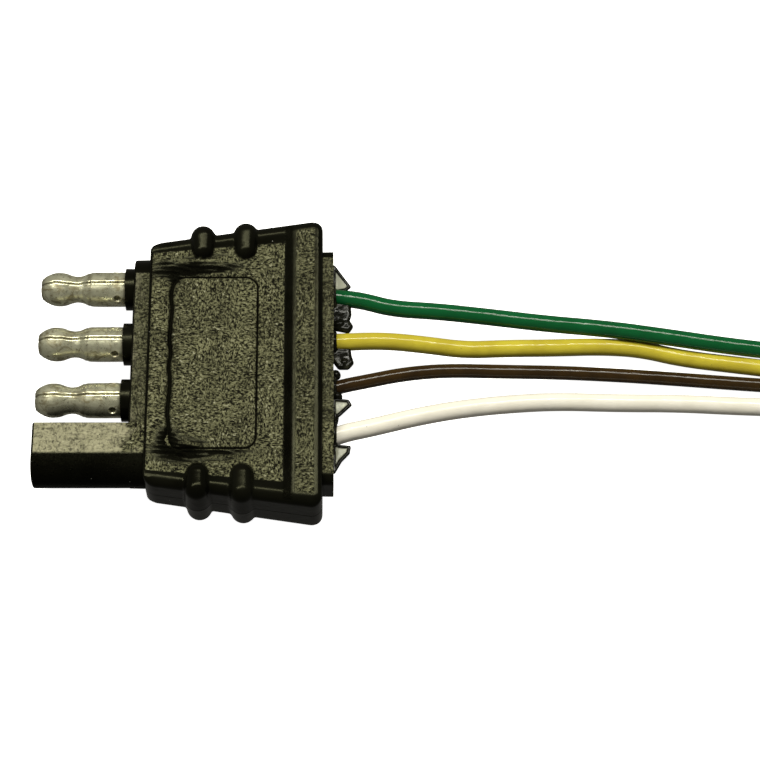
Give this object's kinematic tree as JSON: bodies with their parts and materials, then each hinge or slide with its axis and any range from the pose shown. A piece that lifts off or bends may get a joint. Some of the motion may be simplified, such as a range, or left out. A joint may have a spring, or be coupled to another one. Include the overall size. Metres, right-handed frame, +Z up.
{
  "type": "trailer wiring connector",
  "caption": "Flat moulded trailer lighting plug with bullet pins in a row, a shrouded socket beside them, ribbed grips and colour-coded wires.",
  "frame": {"origin": "middle of the flat mating face of the core, at mid thickness", "axes": "+X from the mating face back to the wires, so the pins point to -X; +Y towards the green wire's side; +Z up, out of the face with the label panel"},
  "size_m": [0.1507, 0.0594, 0.0114],
  "materials": {
    "core_plastic": "fine leather-like moulded grain, black",
    "shell_plastic": "speckled leather-like grain on the flats, smooth gloss on the rails and bumps",
    "tinned_contact": "dull tin plate with brownish handling stains",
    "copper_strand": "bare copper strands",
    "insulation_green": "glossy soft PVC",
    "insulation_yellow": "glossy soft PVC",
    "insulation_brown": "glossy soft PVC",
    "insulation_white": "glossy soft PVC, warm white",
    "potting": "glossy, slightly translucent set resin",
    "tie": "flat flexible strap"
  },
  "bodies": {
    "root": {"core_moulding": "core_plastic", "upper_shell": "shell_plastic", "lower_shell": "shell_plastic", "bullet_terminal_green": "tinned_contact", "bullet_terminal_yellow": "tinned_contact", "bullet_terminal_brown": "tinned_contact", "socket_terminal_white": "tinned_contact", "conductor_green": "copper_strand", "wire_green": "insulation_green", "potting_green": "potting", "coil_green": "insulation_green", "bare_end_green": "copper_strand", "conductor_yellow": "copper_strand", "wire_yellow": "insulation_yellow", "potting_yellow": "potting", "coil_yellow": "insulation_yellow", "bare_end_yellow": "copper_strand", "conductor_brown": "copper_strand", "wire_brown": "insulation_brown", "potting_brown": "potting", "coil_brown": "insulation_brown", "bare_end_brown": "copper_strand", "conductor_white": "copper_strand", "wire_white": "insulation_white", "potting_white": "potting", "coil_white": "insulation_white", "bare_end_white": "copper_strand", "coil_tie": "tie"}
  },
  "joints": []
}
